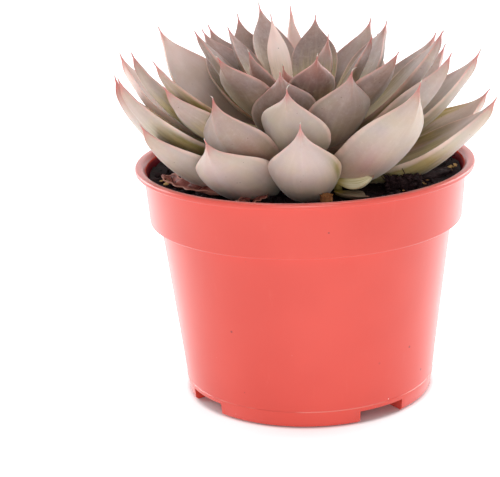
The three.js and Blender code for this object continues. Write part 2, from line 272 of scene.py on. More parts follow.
def pot_inner_wall_painted_shade():
    """The unlit inner face of the pot: the same plastic, its deep red darkened as painted shade, dull
    and dusted with mix, with a band of painted light at the top.
    """
    material, tree, shader = finish_called("pot_inner_wall_painted_shade", IOR=1.5, Specular_IOR_Level=0.12)
    place = own_place(tree)
    broad = rise(tree, mottle(tree, place, 60), 0.35, 0.65)
    dust = rise(tree, mottle(tree, stretched(tree, place, 1, 1, 0.5), 330, 4.0, 0.7), 0.6, 0.76)
    # painted shade: these reds are far darker than the outer plastic's, for the shaded inside of the
    # pot
    colour = tint(tree, broad, (0.26, 0.006, 0.020), (0.19, 0.005, 0.016))
    colour = wash(tree, colour, dust, 0.6, (0.05, 0.012, 0.014))
    # painted light: the top of the inner wall, just under the lip, is made bright orange-red as if the
    # lip's edge glowed
    painted_light_brink = rise(tree, height_of(tree, place), POT_HEIGHT - 2.4 * MM, POT_HEIGHT - 1.4 * MM)
    colour = tint(tree, painted_light_brink, colour, (0.80, 0.055, 0.02))
    dress(tree, shader, colour, compute(tree, "MULTIPLY_ADD", dust, 0.25, 0.6))
    bump(tree, shader, dust, 0.05 * MM, 0.6)
    return material


def leaf_skin():
    """Waxy skin: pale on the outer face, mauve-brown inside, a thin peach margin made paler by painted
    light through it, a red point, and a brown foot that is painted shade.
    """
    material, tree, shader = finish_called(
        "leaf_skin", Specular_IOR_Level=0.4, Sheen_Weight=0.22, Sheen_Roughness=0.45,
        Subsurface_Weight=0.18, Subsurface_Scale=2 * MM,
    )
    place = own_place(tree)
    along, across, youth = (carried(tree, name) for name in ("along", "across", "youth"))
    cloudy = mottle(tree, place, 95)
    fine = mottle(tree, place, 900, 4.0, 0.6)
    grid = skin_grid(
        tree, times(tree, across, 3.2), times(tree, along, 1.6), carried(tree, "seed"),
    )
    streaks = mottle(tree, grid, 2.0, 3.0, 0.55)
    broad = rise(tree, cloudy, 0.35, 0.65)
    soft_streaks = times(tree, rise(tree, streaks, 0.42, 0.8), 0.22)

    # the outer face, the inner face, then the browner skin of the young leaves
    pale = tint(tree, broad, (0.54, 0.455, 0.36), (0.50, 0.41, 0.375))
    pale = tint(tree, soft_streaks, pale, (0.64, 0.575, 0.51))
    lavender = rise(tree, mottle(tree, place, 42, 2.0), 0.5, 0.7)
    pale = wash(tree, pale, lavender, 0.25, (0.47, 0.405, 0.435))
    mauve = tint(tree, broad, (0.42, 0.325, 0.27), (0.47, 0.36, 0.325))
    mauve = tint(tree, soft_streaks, mauve, (0.56, 0.46, 0.42))
    body = tint(tree, carried(tree, "outer_face"), mauve, pale)
    brown = tint(tree, broad, (0.135, 0.063, 0.055), (0.19, 0.104, 0.092))
    brown = tint(tree, soft_streaks, brown, (0.38, 0.27, 0.25))
    body = wash(tree, body, youth, 0.9, brown)
    pink = tint(tree, broad, (0.84, 0.62, 0.55), (0.90, 0.71, 0.65))
    body = tint(tree, carried(tree, "rosy"), body, pink)

    # blotches, a brown foot that is painted shade where the leaves crowd together, a redder end, ochre
    # patches, and stains that on leaf 13 are painted shade
    blotches = rise(tree, mottle(tree, place, 260, 4.0, 0.65), 0.42, 0.66)
    body = wash(tree, body, blotches, 0.11, (0.70, 0.60, 0.56))
    # painted shade: the lower part of each leaf is browned where the leaves crowd into the rosette's
    # crevices
    body = wash(tree, body, fall(tree, along, 0.2, 0.62), 0.3, (0.36, 0.235, 0.15))
    body = wash(tree, body, rise(tree, along, 0.72, 0.97), 0.3, (0.58, 0.33, 0.26))
    patch = rise(tree, mottle(tree, grid, 1.1, 2.0), 0.26, 0.52)
    olive = compute(tree, "MINIMUM", times(tree, patch, carried(tree, "olive")), 1.0)
    ochre = tint(tree, rise(tree, streaks, 0.4, 0.6), (0.31, 0.25, 0.08), (0.48, 0.375, 0.16))
    body = tint(tree, olive, body, ochre)
    # red-brown blush and stains, and on leaf 13 painted shade on the side of its keel turned from the
    # light
    body = tint(tree, carried(tree, "blush_and_shade"), body, (0.43, 0.165, 0.125))

    # the margin, pale peach partly its own colour and partly painted light shining through the thin
    # edge, the point, small dark dots, the powdery bloom and the dry hair
    edge = rise(tree, compute(tree, "ABSOLUTE", across), 0.93, 0.995)
    margin = tint(tree, youth, (0.80, 0.60, 0.51), (0.60, 0.34, 0.29))
    margin = tint(tree, rise(tree, along, 0.7, 0.98), margin, (0.60, 0.29, 0.26))
    uneven = rise(tree, mottle(tree, place, 160, 2.0), 0.3, 0.6)
    # painted light: the margin is made paler as if light shone through the thin edge
    body = wash(tree, body, edge, compute(tree, "MULTIPLY_ADD", uneven, 0.5, 0.3), margin)
    body = wash(tree, body, rise(tree, along, 0.90, 0.99), 0.85, (0.50, 0.15, 0.14))
    body = wash(tree, body, specks(tree, place, 420, 0.11), 0.6, (0.16, 0.09, 0.07))
    body = wash(tree, body, rise(tree, fine, 0.5, 0.8), 0.12, (0.78, 0.70, 0.66))
    body = tint(tree, carried(tree, "hair"), body, (0.56, 0.52, 0.46))
    dress(tree, shader, body, compute(tree, "MULTIPLY_ADD", cloudy, 0.2, 0.40))
    relief = compute(tree, "MULTIPLY_ADD", streaks, 0.3, times(tree, fine, 0.3))
    bump(tree, shader, relief, 0.1 * MM, 0.5)
    return material


def offset_skin():
    """The side shoot's leaves: cream and green stripes, and dark, dull brown on those given a high
    youth value.
    """
    material, tree, shader = finish_called("offset_skin", Specular_IOR_Level=0.4)
    place = own_place(tree)
    along, across = carried(tree, "along"), carried(tree, "across")
    grid = skin_grid(tree, times(tree, across, 5.0), along, carried(tree, "seed"))
    stripes = mottle(tree, grid, 1.6, 2.0)
    body = tint(tree, rise(tree, stripes, 0.35, 0.65), (0.64, 0.60, 0.30), (0.86, 0.82, 0.60))
    dull = tint(tree, rise(tree, stripes, 0.40, 0.55), (0.10, 0.068, 0.042), (0.24, 0.19, 0.125))
    body = tint(tree, carried(tree, "youth"), body, dull)
    body = wash(tree, body, fall(tree, along, 0.1, 0.5), 0.8, (0.34, 0.25, 0.012))
    edge = rise(tree, compute(tree, "ABSOLUTE", across), 0.90, 0.99)
    body = wash(tree, body, edge, 0.4, (0.72, 0.55, 0.38))
    body = tint(tree, rise(tree, along, 0.93, 0.99), body, (0.42, 0.22, 0.16))
    dress(tree, shader, body, compute(tree, "MULTIPLY_ADD", stripes, 0.15, 0.38))
    bump(tree, shader, mottle(tree, place, 900), 0.1 * MM, 0.5)
    return material


def fibres_of(tree, place):
    """Fine grain, drawn out sideways."""
    return mottle(tree, stretched(tree, place, 0.5, 0.5, 2.0), 1500, 4.0, 0.65)


def dry_finish(name, dark, light, streak, roughness, relief):
    """Dry plant matter: two browns in uneven patches, pale streaks and a rough surface."""
    material, tree, shader = finish_called(name, Specular_IOR_Level=0.2)
    place = own_place(tree)
    uneven = mottle(tree, place, 260, 4.0, 0.6)
    fibres = fibres_of(tree, place)
    colour = tint(tree, rise(tree, uneven, 0.35, 0.65), dark, light)
    colour = wash(tree, colour, rise(tree, fibres, 0.55, 0.75), 0.5, streak)
    dress(tree, shader, colour, compute(tree, "MULTIPLY_ADD", uneven, 0.1, roughness))
    bump(tree, shader, fibres, relief, 0.8)
    return material


def withered_skin():
    """A withered leaf: red-brown and wrinkled, with pale salmon rims and ends."""
    material, tree, shader = finish_called("withered_skin", Specular_IOR_Level=0.25)
    place = own_place(tree)
    wrinkled = mottle(tree, place, 240, 4.0, 0.6)
    fibres = fibres_of(tree, place)
    rim = rise(tree, compute(tree, "ABSOLUTE", carried(tree, "across")), 0.78, 1.0)
    end = fall(tree, carried(tree, "along"), 0.02, 0.22)
    colour = tint(tree, rise(tree, wrinkled, 0.35, 0.65), (0.13, 0.025, 0.016), (0.34, 0.105, 0.085))
    colour = wash(tree, colour, compute(tree, "MAXIMUM", rim, end), 0.85, (0.66, 0.31, 0.24))
    colour = wash(tree, colour, rise(tree, fibres, 0.55, 0.75), 0.4, (0.58, 0.34, 0.27))
    dress(tree, shader, colour, compute(tree, "MULTIPLY_ADD", wrinkled, 0.2, 0.4))
    bump(tree, shader, fibres, 0.1 * MM, 0.8)
    return material


POT_PLASTIC = pot_plastic()
POT_INNER_WALL_PAINTED_SHADE = pot_inner_wall_painted_shade()
LEAF_SKIN = leaf_skin()
OFFSET_SKIN = offset_skin()
WITHERED_SKIN = withered_skin()
POTTING_MIX = dry_finish(
    "potting_mix", (0.006, 0.003, 0.004), (0.022, 0.009, 0.012), (0.07, 0.035, 0.03), 0.8, 0.5 * MM)
BARK = dry_finish(
    "bark_chips", (0.012, 0.005, 0.006), (0.035, 0.016, 0.018), (0.10, 0.05, 0.04), 0.7, 0.4 * MM)
FLAKES = dry_finish(
    "pale_flakes", (0.42, 0.24, 0.09), (0.62, 0.42, 0.18), (0.75, 0.58, 0.32), 0.7, 0.2 * MM)
DRY_STALK = dry_finish(
    "dry_stalk", (0.28, 0.11, 0.04), (0.45, 0.20, 0.07), (0.60, 0.36, 0.16), 0.7, 0.3 * MM)
STEM_BARK = dry_finish(
    "stem_bark", (0.14, 0.10, 0.05), (0.22, 0.17, 0.09), (0.34, 0.28, 0.17), 0.75, 0.3 * MM)


# ---------------------------------------------------------------- making pieces

MERGE_GAP = 1e-7


def shade(bm, crease):
    """Smooth, except where faces meet more sharply than the crease angle."""
    for face in bm.faces:
        face.smooth = True
    for edge in bm.edges:
        edge.smooth = edge.calc_face_angle(0) < crease


def closed_up(bm):
    """Join the vertices that meet, and turn every face outwards."""
    bmesh.ops.remove_doubles(bm, verts=bm.verts, dist=MERGE_GAP)
    bmesh.ops.recalc_face_normals(bm, faces=bm.faces)


def piece_from(bm, name, material, replaced=(), crease=math.radians(40)):
    """A finished piece that rides on the body and stands for the CAD nodes it replaces."""
    closed_up(bm)
    shade(bm, crease)
    piece = placed(name, mesh_from(bm, name))
    piece.data.materials.append(material)
    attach(piece, "root")
    if replaced:
        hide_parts(*replaced)
    return piece


def spun(profile, steps):
    """A turned body from (radius, height) points in metres."""
    bm = bmesh.new()
    corners = [bm.verts.new((radius, 0, height)) for radius, height in profile]
    edges = [bm.edges.new(pair) for pair in zip(corners, corners[1:])]
    bmesh.ops.spin(
        bm, geom=corners + edges, cent=(0, 0, 0), axis=(0, 0, 1),
        angle=math.tau, steps=steps, use_merge=True,
    )
    closed_up(bm)
    return bm


def sweep(bm, places, radii, sides):
    """A closed round strand through the given places."""
    directions = [(b - a).normalized() for a, b in zip(places, places[1:])]
    directions.append(directions[-1])
    across = directions[0].orthogonal().normalized()
    loop = None
    for place, radius, direction in zip(places, radii, directions):
        across = (across - direction * across.dot(direction)).normalized()
        other = direction.cross(across)
        if loop is None:
            ring = bmesh.ops.create_circle(bm, segments=sides, radius=1.0)["verts"]
            loop = list({edge for vert in ring for edge in vert.link_edges})
            last = {vert: vert.co.copy() for vert in ring}
            bmesh.ops.contextual_create(bm, geom=loop)
        else:
            out = bmesh.ops.extrude_edge_only(bm, edges=loop)["geom"]
            loop = [item for item in out if isinstance(item, bmesh.types.BMEdge)
                    and item.verts[0] in out and item.verts[1] in out]
            ring = [item for item in out if isinstance(item, bmesh.types.BMVert)]
            last = {vert: flat[tuple(round(c, 9) for c in vert.co)] for vert in ring}
        flat = {}
        for vert in ring:
            unit = last[vert]
            vert.co = place + (across * unit.x + other * unit.y) * radius
            flat[tuple(round(c, 9) for c in vert.co)] = unit
    bmesh.ops.contextual_create(bm, geom=loop)


def boolean(piece, cutters, operation):
    """Join the tools to the piece or cut them out of it, and clear them away."""
    for cutter in cutters:
        modifier = piece.modifiers.new("cut", "BOOLEAN")
        modifier.operation = operation
        modifier.solver = "EXACT"
        modifier.object = cutter
    settled = piece.evaluated_get(bpy.context.evaluated_depsgraph_get())
    mesh = bpy.data.meshes.new_from_object(settled)
    piece.modifiers.clear()
    piece.data = mesh
    for cutter in cutters:
        bpy.data.objects.remove(cutter)


def rough(place, scale, amount):
    """An unevenness of up to about the amount either way."""
    return noise.noise(place * scale) * amount


# ---------------------------------------------------------------- pot

def outward(degrees):
    """Level and away from the pot's axis. 0 degrees is the front."""
    turn = math.radians(degrees)
    return Vector((math.sin(turn), -math.cos(turn), 0))


def block(azimuth, width, inner, outer, low, high):
    """A block standing on a radius of the pot, as a tool for cutting or joining."""
    bm = bmesh.new()
    bmesh.ops.create_cube(bm, size=1)
    bmesh.ops.scale(bm, verts=bm.verts, vec=(width, outer - inner, high - low))
    bmesh.ops.translate(bm, verts=bm.verts, vec=(0, -(inner + outer) / 2, (low + high) / 2))
    turn = Matrix.Rotation(math.radians(azimuth), 3, "Z")
    bmesh.ops.rotate(bm, verts=bm.verts, cent=(0, 0, 0), matrix=turn)
    return placed("tool", mesh_from(bm, "tool"))


def drain_hole(azimuth):
    bm = bmesh.new()
    bmesh.ops.create_cone(
        bm, cap_ends=True, segments=32, radius1=DRAIN_HOLE_RADIUS, radius2=DRAIN_HOLE_RADIUS,
        depth=8 * MM,
    )
    place = outward(azimuth) * (BASE_RADIUS - CHANNEL_DEPTH / 2)
    bmesh.ops.translate(bm, verts=bm.verts, vec=place + UP * CHANNEL_HEIGHT)
    return placed("tool", mesh_from(bm, "tool"))


def body_radius(height):
    """The outside of the tapered body, without the band round its foot."""
    return BASE_RADIUS + (BODY_TOP_RADIUS - BASE_RADIUS) * height / COLLAR_FOOT_HEIGHT


def outer_radius(height):
    return body_radius(height) + (FOOT_BAND if height <= FOOT_BAND_HEIGHT else 0)


def is_inner(place):
    """True on the pot's inner wall, under the smooth top of the lip."""
    radius, height = place.xy.length, place.z
    if height < CHANNEL_HEIGHT + WALL * 1.5:
        return False
    if height < COLLAR_FOOT_HEIGHT + 0.2 * MM:
        middle = body_radius(height) - WALL / 2
    else:
        share = (height - COLLAR_FOOT_HEIGHT) / (POT_HEIGHT - COLLAR_FOOT_HEIGHT)
        middle = COLLAR_FOOT_RADIUS + (COLLAR_TOP_RADIUS - COLLAR_FOOT_RADIUS) * share - WALL / 2
    return radius < middle and height < POT_HEIGHT - 0.9 * MM


def pot_shell():
    """The turned pot, its corners rounded, before the drain channels are made in its foot."""
    lip_inside = LIP_RADIUS - LIP_TOP_WIDTH
    lip_root = (COLLAR_TOP_RADIUS - WALL, LIP_UNDERSIDE - 0.6 * MM)
    bm = spun([
        (0, 0), (BASE_RADIUS, 0),
        (outer_radius(FOOT_BAND_HEIGHT), FOOT_BAND_HEIGHT),
        (body_radius(FOOT_BAND_HEIGHT + LEDGE_HEIGHT), FOOT_BAND_HEIGHT + LEDGE_HEIGHT),
        (BODY_TOP_RADIUS, COLLAR_FOOT_HEIGHT),
        (COLLAR_FOOT_RADIUS, COLLAR_FOOT_HEIGHT),
        (COLLAR_TOP_RADIUS, LIP_UNDERSIDE),
        (LIP_RADIUS, LIP_UNDERSIDE), (LIP_RADIUS, POT_HEIGHT),
        (lip_inside, POT_HEIGHT),
        lip_root,
        (COLLAR_FOOT_RADIUS - WALL, COLLAR_FOOT_HEIGHT + 2 * WALL),
        (BODY_TOP_RADIUS - WALL, COLLAR_FOOT_HEIGHT),
        (BASE_RADIUS - WALL, WALL), (0, WALL),
    ], POT_STEPS)
    for radius, height, size in [
        (BASE_RADIUS, 0, 0.9), (BODY_TOP_RADIUS, COLLAR_FOOT_HEIGHT, 0.5),
        (COLLAR_FOOT_RADIUS, COLLAR_FOOT_HEIGHT, 0.7), (COLLAR_TOP_RADIUS, LIP_UNDERSIDE, 0.7),
        (LIP_RADIUS, LIP_UNDERSIDE, 0.5), (LIP_RADIUS, POT_HEIGHT, 0.6),
        (lip_inside, POT_HEIGHT, 0.7), (*lip_root, 1.2),
    ]:
        ring = [
            edge for edge in bm.edges
            if all(abs(vert.co.xy.length - radius) < 1e-5 and abs(vert.co.z - height) < 1e-6
                   for vert in edge.verts)
        ]
        bmesh.ops.bevel(
            bm, geom=ring, offset=size * MM, offset_type="OFFSET", segments=3,
            profile=0.5, affect="EDGES", material=-1,
        )
    return bm


def trim_foot(bm):
    """Bring the corners of the channels' walls back to the round outside of the pot."""
    for vert in bm.verts:
        limit = outer_radius(vert.co.z)
        if vert.co.z < 8 * MM and vert.co.xy.length > limit:
            vert.co.xy = vert.co.xy * (limit / vert.co.xy.length)
    bmesh.ops.dissolve_degenerate(bm, dist=1e-6, edges=bm.edges)


def make_pot():
    pot = piece_from(pot_shell(), "nursery_pot", POT_PLASTIC, ["pot"], POT_CREASE)
    channel_end = BASE_RADIUS - CHANNEL_DEPTH
    boolean(pot, [
        block(azimuth, CHANNEL_WIDTH + 2 * WALL, channel_end - WALL, BASE_RADIUS - 0.3 * MM,
              WALL / 2, CHANNEL_HEIGHT + WALL)
        for azimuth in CHANNELS
    ], "UNION")
    channels = [
        block(azimuth, CHANNEL_WIDTH, channel_end, BASE_RADIUS + 3 * MM, -2 * MM, CHANNEL_HEIGHT)
        for azimuth in CHANNELS
    ]
    boolean(pot, channels + [drain_hole(azimuth) for azimuth in CHANNELS], "DIFFERENCE")
    bm = bmesh.new()
    bm.from_mesh(pot.data)
    shade(bm, POT_CREASE)
    trim_foot(bm)
    pot.data.materials.append(POT_INNER_WALL_PAINTED_SHADE)
    for face in bm.faces:
        face.material_index = 1 if is_inner(face.calc_center_median()) else 0
    bm.to_mesh(pot.data)
    bm.free()


make_pot()


# ---------------------------------------------------------------- leaves

INNER_SHARE = 0.35
LEAF_SIDES = 44
LEAF_ROWS = 44
HAIR_ROWS = 7
HAIR_RADIUS = 0.2 * MM
ROW_CROWDING = 1.15
EDGE_WAVE = 0.035


class Blade:
    """The line, half width, half thickness and cup of a CAD blade, read from its rings of vertices."""

    def __init__(self, node, upward=None):
        bm = bmesh.new()
        bm.from_mesh(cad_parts[node].data)
        bmesh.ops.remove_doubles(bm, verts=bm.verts, dist=1e-6)
        poles = [v for v in bm.verts if len(v.link_edges) == 8 and self.is_pole(v)]
        poles = sorted(poles, key=lambda v: v.co.xy.length)
        foot, tip = poles[0], poles[-1]
        self.centre, self.wide, self.thick = [foot.co.copy()], [Vector()], [Vector()]
        self.cup = [0.0]
        seen, level = {foot}, [foot]
        while True:
            level = list({e.other_vert(v) for v in level for e in v.link_edges} - seen)
            seen.update(level)
            if tip in level or not level:
                break
            self.add_station(self.in_order(level), upward)
        self.centre.append(tip.co.copy())
        self.wide.append(Vector())
        self.thick.append(Vector())
        self.cup.append(0.0)
        bm.free()
        self.face_way = self.unit_ways(self.thick)
        self.side_way = self.unit_ways(self.wide)

    @staticmethod
    def is_pole(vert):
        around = {e.other_vert(vert) for e in vert.link_edges}
        return all(sum(e.other_vert(v) in around for e in v.link_edges) == 2 for v in around)

    @staticmethod
    def in_order(level):
        members, ordered = set(level), [level[0]]
        while len(ordered) < len(level):
            nexts = [e.other_vert(ordered[-1]) for e in ordered[-1].link_edges]
            ordered.append(next(v for v in nexts if v in members and v not in ordered))
        return [v.co.copy() for v in ordered]

    def add_station(self, ring, upward):
        half = len(ring) // 2
        first = max(range(half), key=lambda i: (ring[i] - ring[i + half]).length)
        side = (ring[first] - ring[first + half]) / 2
        top = ring[(first + half // 2) % len(ring)]
        back = ring[(first + 3 * half // 2) % len(ring)]
        radial = (sum(ring, Vector()) / len(ring)).copy()
        radial.z = 0
        inward = upward or (UP - radial.normalized())
        if (top - back).dot(inward) < 0:
            top, back = back, top
        thick = (top - back) / 2
        centre = top.lerp(back, INNER_SHARE)
        heading = centre - self.centre[-1]
        if side.cross(thick).dot(heading) < 0:
            side = -side
        rim = (ring[first] + ring[first + half]) / 2
        self.centre.append(centre)
        self.wide.append(side)
        self.thick.append(thick)
        self.cup.append((rim - centre).dot(thick.normalized()))

    @staticmethod
    def unit_ways(vectors):
        ways = [v.normalized() for v in vectors]
        ways[0], ways[-1] = ways[1], ways[-2]
        return ways

    def at(self, along):
        """Centre, side way, face way, half width, half thickness and cup at a share of the length."""
        return (
            flow(self.centre, along),
            flow(self.side_way, along).normalized(),
            flow(self.face_way, along).normalized(),
            max(flow([v.length for v in self.wide], along, True), 0),
            max(flow([v.length for v in self.thick], along, True), 0),
            flow(self.cup, along, True),
        )


def flow(values, along, level_end=False):
    """A smooth curve through evenly spaced values. It may arrive level at the last one."""
    place = min(max(along, 0), 1) * (len(values) - 1)
    i = min(int(place), len(values) - 2)
    t = place - i
    b, c = values[i], values[i + 1]
    a = values[i - 1] if i > 0 else b * 2 - c
    if i + 2 < len(values):
        d = values[i + 2]
    else:
        d = b if level_end else c * 2 - b
    return (b * 2 + (c - a) * t + (a * 2 - b * 5 + c * 4 - d) * t * t
            + (b * 3 - a - c * 3 + d) * t * t * t) * 0.5


def smooth(value, low, high):
    """0 below low, 1 above high, smooth between."""
    t = min(max((value - low) / (high - low), 0), 1)
    return t * t * (3 - 2 * t)


VERTEX_VALUES = ["along", "across", "outer_face", "youth", "olive", "blush_and_shade", "rosy", "hair", "seed"]


def ball_place(vert, rows):
    """Row, side way share and face way share of a vertex of a unit ball."""
    row = round(math.acos(min(max(-vert.co.z, -1), 1)) / math.pi * rows)
    around = math.atan2(vert.co.y, vert.co.x)
    return (row, 0.0, 0.0) if row in (0, rows) else (row, math.cos(around), math.sin(around))


def hair_path(blade, length, curl, lean):
    """The dry hair at a leaf's point: it carries on from the leaf and curls."""
    tip = blade.centre[-1]
    heading = (tip - flow(blade.centre, 0.96)).normalized()
    side = (blade.side_way[-1] * math.sin(lean) + blade.face_way[-1] * math.cos(lean)).normalized()
    places = [tip.copy()]
    for i in range(HAIR_ROWS):
        turn = curl * (i + 1) / HAIR_ROWS
        step = heading * math.cos(turn) + side * math.sin(turn)
        places.append(places[-1] + step * (length / HAIR_ROWS))
    return places


def patches(spots, along, across):
    """How much of the patches (along, across, length, width, amount) reaches a place on a leaf."""
    total = 0.0
    for middle_along, middle_across, length, width, amount in spots:
        away = ((along - middle_along) / length) ** 2 + ((across - middle_across) / width) ** 2
        total += amount * math.exp(-away)
    return total


def skin_lift(along, across, face, thick, keel, crease, fullness, belly):
    """How far the skin stands off the blade's line: hollowed inside, full and keeled outside."""
    lens = max(1 - across * across, 0)
    if face > 0:
        return 0.7 * thick * lens ** 0.9
    swell = 1 + belly * (1 - smooth(along, 0.42, 0.8))
    near_point = smooth(along, 0.5, 0.85) * (1 - smooth(along, 0.93, 1))
    ridge = math.exp(-(across / 0.2) ** 2) * near_point
    long_way = smooth(along, 0.15, 0.5) * (1 - smooth(along, 0.9, 1))
    fold = math.exp(-(abs(across - 0.1) / 0.3) ** 1.3) * long_way
    return -fullness * thick * lens ** 0.55 * swell - (keel * ridge + crease * fold)


def leaf_piece(node, name, material, slot, looks, keel, seed, fullness=1.3, belly=0.0):
    """A leaf round the CAD blade's line, with a dry hair at its point."""
    blade = Blade(node)
    hair_places = hair_path(blade, looks["hair"] * MM, looks["curl"], looks["lean"])
    rows = LEAF_ROWS + HAIR_ROWS
    bm = bmesh.new()
    layers = {key: bm.verts.layers.float.new(key) for key in VERTEX_VALUES}
    bmesh.ops.create_uvsphere(bm, u_segments=LEAF_SIDES, v_segments=rows, radius=1.0)
    for vert in bm.verts:
        row, across, face = ball_place(vert, rows)
        along = 1 - (1 - min(row / LEAF_ROWS, 1)) ** ROW_CROWDING
        place, side_way, face_way, wide, thick, cup = blade.at(along)
        if row >= LEAF_ROWS:
            share = (row - LEAF_ROWS) / HAIR_ROWS
            radius = 0 if row == rows else HAIR_RADIUS * (1 - 0.75 * share)
            place = hair_places[row - LEAF_ROWS]
            place = place + side_way * across * radius + face_way * face * radius
        elif row > 0:
            edge_wave = noise.noise(Vector((along * 5, seed * 3.1, math.copysign(4, across))))
            wide = max(wide * (1 + EDGE_WAVE * edge_wave), HAIR_RADIUS)
            thick = max(thick, HAIR_RADIUS)
            crease = looks["crease"] * MM
            lift = skin_lift(along, across, face, thick, keel, crease, fullness, belly)
            lift += cup * abs(across) ** 3
            place = place + side_way * across * wide + face_way * lift
            dents = rough(place + Vector((seed, 0, 0)), 90, 0.35 * MM)
            place += face_way * dents * max(1 - across * across, 0)
        vert.co = place
        olive = looks["olive"] * (1 - smooth(along, 0.4, 0.8)) + patches(looks["ochre"], along, across)
        blush_and_shade = 0.2 * (1 - smooth(along, 0.12, 0.4)) + patches(looks["stain_and_shade"], along, across)
        values = {
            "along": along, "across": across, "outer_face": smooth(-face, -0.25, 0.25),
            "youth": looks["youth"], "olive": min(olive, 1.5), "blush_and_shade": min(blush_and_shade, 1),
            "rosy": looks["rosy"], "hair": smooth(row, LEAF_ROWS - 1, LEAF_ROWS + 2), "seed": seed,
        }
        for key, layer in layers.items():
            vert[layer] = values[key]
    return piece_from(bm, name, material, [node], math.radians(70))


WHORL_SIZES = [11, 10, 10, 10, 6]
WHORL_YOUTH = [0.0, 0.15, 0.5, 0.75, 0.9]
WHORL_KEELS = [0.7 * MM, 0.7 * MM, 0.7 * MM, 0.4 * MM, 0.4 * MM]
LOWEST_WHORL_BODY = (1.5, 0.6)
LEAF_BODY = (1.3, 0.15)
OFFSET_DARKNESS = [0.0, 0.3, 1.0]
# hair length and crease depth in millimetres, curl and lean in radians; ochre and stain_and_shade are
# patches, the latter painted shade on leaf 13
PLAIN_LOOKS = {
    "youth": 0.0, "olive": 0.0, "rosy": 0.0, "hair": 0.8, "curl": 0.8, "lean": 0.5,
    "ochre": [], "stain_and_shade": [], "crease": 0.0,
}
OWN_LOOKS = {
    1: {"hair": 4.0, "curl": 2.4, "lean": -1.2, "olive": 0.5, "youth": 0.06},
    2: {"rosy": 0.12, "ochre": [(0.35, -0.9, 0.15, 0.15, 0.8)]},
    3: {"rosy": 0.12, "ochre": [(0.55, 0.97, 0.16, 0.14, 1.6)],
        "stain_and_shade": [(0.12, 0, 0.15, 0.8, 0.5)]},
    4: {"olive": 0.2, "youth": 0.12, "stain_and_shade": [(0.5, -0.45, 0.15, 0.4, 0.5)]},
    5: {"olive": 1.2, "youth": 0.0, "ochre": [(0.45, 0, 0.18, 1.2, 1.0)],
        "stain_and_shade": [(0.5, 0.4, 0.08, 0.4, 0.5)]},
    6: {"olive": 1.2, "youth": 0.0, "ochre": [(0.7, 0.85, 0.2, 0.25, 1.3)]},
    11: {"olive": 1.0, "stain_and_shade": [(0.95, 0, 0.1, 2, 0.9)]},
    12: {"hair": 3.0, "curl": 2.8, "lean": 0.4, "youth": 0.05},
    # the patch on leaf 13's right side is painted shade: the side of its keel turned from the light
    13: {"youth": 0.38, "crease": 2.2, "stain_and_shade": [(0.5, 0.55, 0.25, 0.35, 0.5)]},
    14: {"olive": 1.3, "youth": 0.05, "ochre": [(0.62, 0, 0.16, 1.5, 0.6)]},
    15: {"olive": 0.5, "youth": 0.2},
    16: {"hair": 3.5, "curl": 1.6, "lean": 1.2, "olive": 0.7, "youth": 0.15},
    21: {"rosy": 0.6, "youth": 0.05},
    22: {"youth": 0.5, "hair": 2.6},
    23: {"youth": 0.85},
    24: {"olive": 1.3, "youth": 0.4, "ochre": [(0.6, 0, 0.16, 1.5, 0.5)]},
    25: {"youth": 0.5},
    28: {"rosy": 0.6, "stain_and_shade": [(0.6, 0, 0.5, 2, 0.35)]},
    30: {"youth": 0.0, "olive": 0.1, "rosy": 0.35},
    31: {"olive": 1.0, "youth": 0.4, "ochre": [(0.6, 0, 0.16, 1.5, 1.0)]},
    32: {"youth": 1.0, "stain_and_shade": [(0.95, 0, 0.15, 2, 0.5)]},
    33: {"youth": 0.85},
    40: {"olive": 1.4, "youth": 0.4, "ochre": [(0.62, 0, 0.2, 1.5, 1.3)]},
    41: {"youth": 0.85},
    42: {"stain_and_shade": [(0.8, -0.5, 0.35, 0.7, 0.6)]},
    44: {"hair": 2.0, "rosy": 0.3, "olive": 1.2, "stain_and_shade": [(0.96, 0, 0.16, 2, 0.7)]},
    45: {"youth": 0.0, "rosy": 1.0},
    47: {"stain_and_shade": [(0.9, 0, 0.4, 2, 0.9)]},
}


def make_leaves():
    draw = random.Random(11)
    number = 0
    for whorl, count in enumerate(WHORL_SIZES):
        for _ in range(count):
            number += 1
            looks = {
                **PLAIN_LOOKS,
                "youth": min(WHORL_YOUTH[whorl] + draw.uniform(-0.08, 0.08), 1),
                "olive": draw.uniform(0.2, 0.7),
                "hair": draw.uniform(0.5, 1.5),
                "curl": draw.uniform(0.2, 1.4),
                "lean": draw.uniform(-math.pi, math.pi),
                **OWN_LOOKS.get(number, {}),
            }
            leaf_piece(
                f"leaf_{number:02d}", f"rosette_leaf_{number:02d}", LEAF_SKIN, "succulent_leaf",
                looks, WHORL_KEELS[whorl], number * 1.7,
                *(LOWEST_WHORL_BODY if whorl == 0 else LEAF_BODY),
            )
    for i, darkness in enumerate(OFFSET_DARKNESS, start=1):
        leaf_piece(
            f"offset_leaf_{i}", f"offset_blade_{i}", OFFSET_SKIN, "offset_leaf",
            {**PLAIN_LOOKS, "youth": darkness}, 0.2 * MM, 90 + i,
        )


make_leaves()


# ---------------------------------------------------------------- stems

STUB_RADIUS = 1.9 * MM
STUB_ROWS = 9


def make_stem():
    """The woody stem with the scars of shed leaves, tapering into the rosette."""
    low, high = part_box("stem")
    radius = high.x
    profile = [(0, low.z), (radius * 0.69, low.z)]
    for i in range(12):
        height = low.z + (high.z - low.z) * (0.06 + 0.5 * i / 11)
        scar = 0.35 * MM if i % 2 else 0
        profile.append((radius * (0.69 if i < 9 else 0.85) + scar, height))
    profile += [(radius * 0.8, 90 * MM), (radius * 0.5, 96 * MM)]
    profile += [(radius * 0.3, high.z - 1 * MM), (0, high.z)]
    bm = spun(profile, 48)
    for vert in bm.verts:
        vert.co += vert.co.normalized() * rough(vert.co, 350, 0.3 * MM)
    piece_from(bm, "woody_stem", STEM_BARK, ["stem"])


